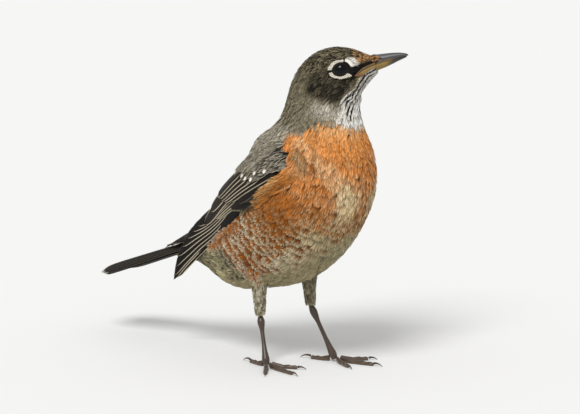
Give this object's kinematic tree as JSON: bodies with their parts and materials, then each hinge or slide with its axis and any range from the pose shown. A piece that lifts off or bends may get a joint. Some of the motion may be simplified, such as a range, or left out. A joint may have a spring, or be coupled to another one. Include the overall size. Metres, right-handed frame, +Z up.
{
  "type": "american robin",
  "caption": "American robin standing alert with its head turned to its left, wings folded and tail lowered, as a still life-size model.",
  "frame": {"origin": "on the floor, under the middle of the whole bird's bounding box", "axes": "+X the way the body faces, +Y to the bird's left, +Z up"},
  "size_m": [0.205, 0.0795, 0.1897],
  "materials": {
    "head_feathers": "matte",
    "neck_feathers": "matte",
    "body_feathers": "matte",
    "wing_feathers": "matte",
    "flight_feathers": "satin",
    "leg_feathers": "matte",
    "horn": "satin",
    "pale_horn": "satin",
    "eye": "gloss",
    "leg_scales": "satin",
    "claw": "satin"
  },
  "bodies": {
    "root": {"head": "head_feathers", "neck": "neck_feathers", "trunk": "body_feathers", "bill_upper": "horn", "bill_lower": "pale_horn", "eye_left": "eye", "eye_right": "eye", "tail": "flight_feathers", "wing_left_coverts": "wing_feathers", "wing_left_secondaries": "flight_feathers", "wing_left_primaries": "flight_feathers", "shank_left": "leg_feathers", "tarsus_left": "leg_scales", "toe_left_inner": "leg_scales", "claw_left_inner": "claw", "toe_left_middle": "leg_scales", "claw_left_middle": "claw", "toe_left_outer": "leg_scales", "claw_left_outer": "claw", "toe_left_hind": "leg_scales", "claw_left_hind": "claw", "wing_right_coverts": "wing_feathers", "wing_right_secondaries": "flight_feathers", "wing_right_primaries": "flight_feathers", "shank_right": "leg_feathers", "tarsus_right": "leg_scales", "toe_right_inner": "leg_scales", "claw_right_inner": "claw", "toe_right_middle": "leg_scales", "claw_right_middle": "claw", "toe_right_outer": "leg_scales", "claw_right_outer": "claw", "toe_right_hind": "leg_scales", "claw_right_hind": "claw"}
  },
  "joints": []
}
